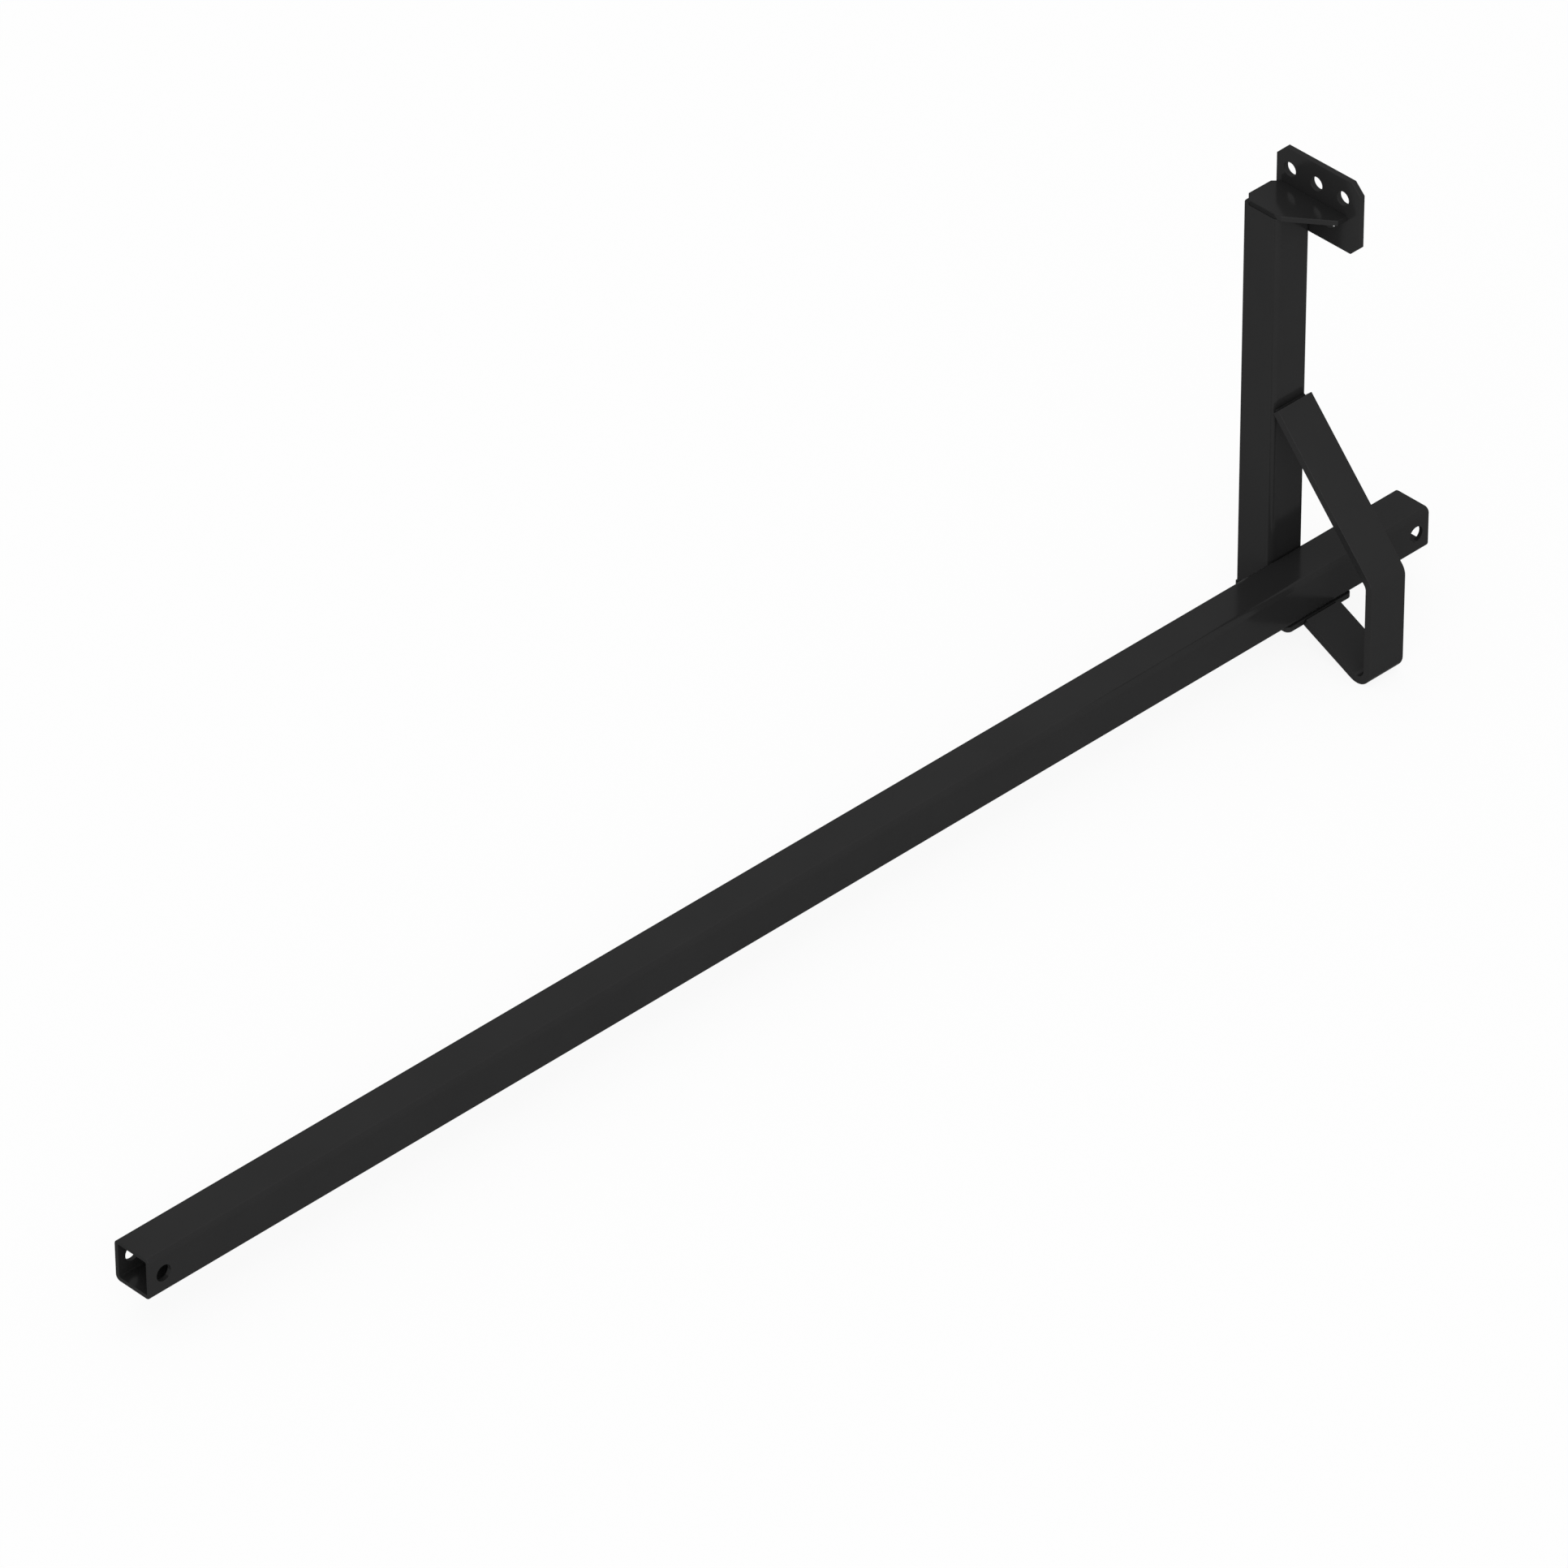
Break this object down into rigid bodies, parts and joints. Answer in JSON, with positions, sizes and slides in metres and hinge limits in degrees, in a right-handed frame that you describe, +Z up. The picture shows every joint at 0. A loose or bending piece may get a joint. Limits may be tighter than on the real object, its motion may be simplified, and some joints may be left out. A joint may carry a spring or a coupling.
{
  "type": "pull up bar",
  "caption": "Black welded pull up bar section: a long square steel rail with cross-bolt holes, a short upright, a drilled mounting plate, a top gusset and a bent brace strap.",
  "frame": {"origin": "centre of the cross hole near the rail's near end, on the rail's axis", "axes": "+X runs along the rail from its near end to its far end, +Y from the rail to the upright behind it, +Z up along the upright"},
  "size_m": [1.8288, 0.199, 0.5756],
  "materials": {
    "black_powder_coat": "smooth satin black powder coat over steel",
    "coated_weld": "black powder coat over rippled weld bead"
  },
  "bodies": {
    "root": {"rail": "black_powder_coat", "upright": "black_powder_coat", "base_plate": "black_powder_coat", "mounting_plate": "black_powder_coat", "top_gusset": "black_powder_coat", "brace_strap": "black_powder_coat", "weld_strap_head_groove": "coated_weld", "weld_strap_head_under": "coated_weld", "weld_strap_foot_groove": "coated_weld", "weld_strap_foot_under": "coated_weld", "weld_gusset_upright": "coated_weld", "weld_gusset_mount": "coated_weld", "weld_gusset_side": "coated_weld", "weld_mount_upright_back": "coated_weld", "weld_mount_upright_below": "coated_weld", "weld_rail_upright_inboard": "coated_weld", "weld_rail_upright_outboard": "coated_weld", "weld_base_rail_inboard": "coated_weld", "weld_base_rail_outboard": "coated_weld", "weld_base_upright_inboard": "coated_weld", "weld_base_upright_outboard": "coated_weld"}
  },
  "joints": []
}
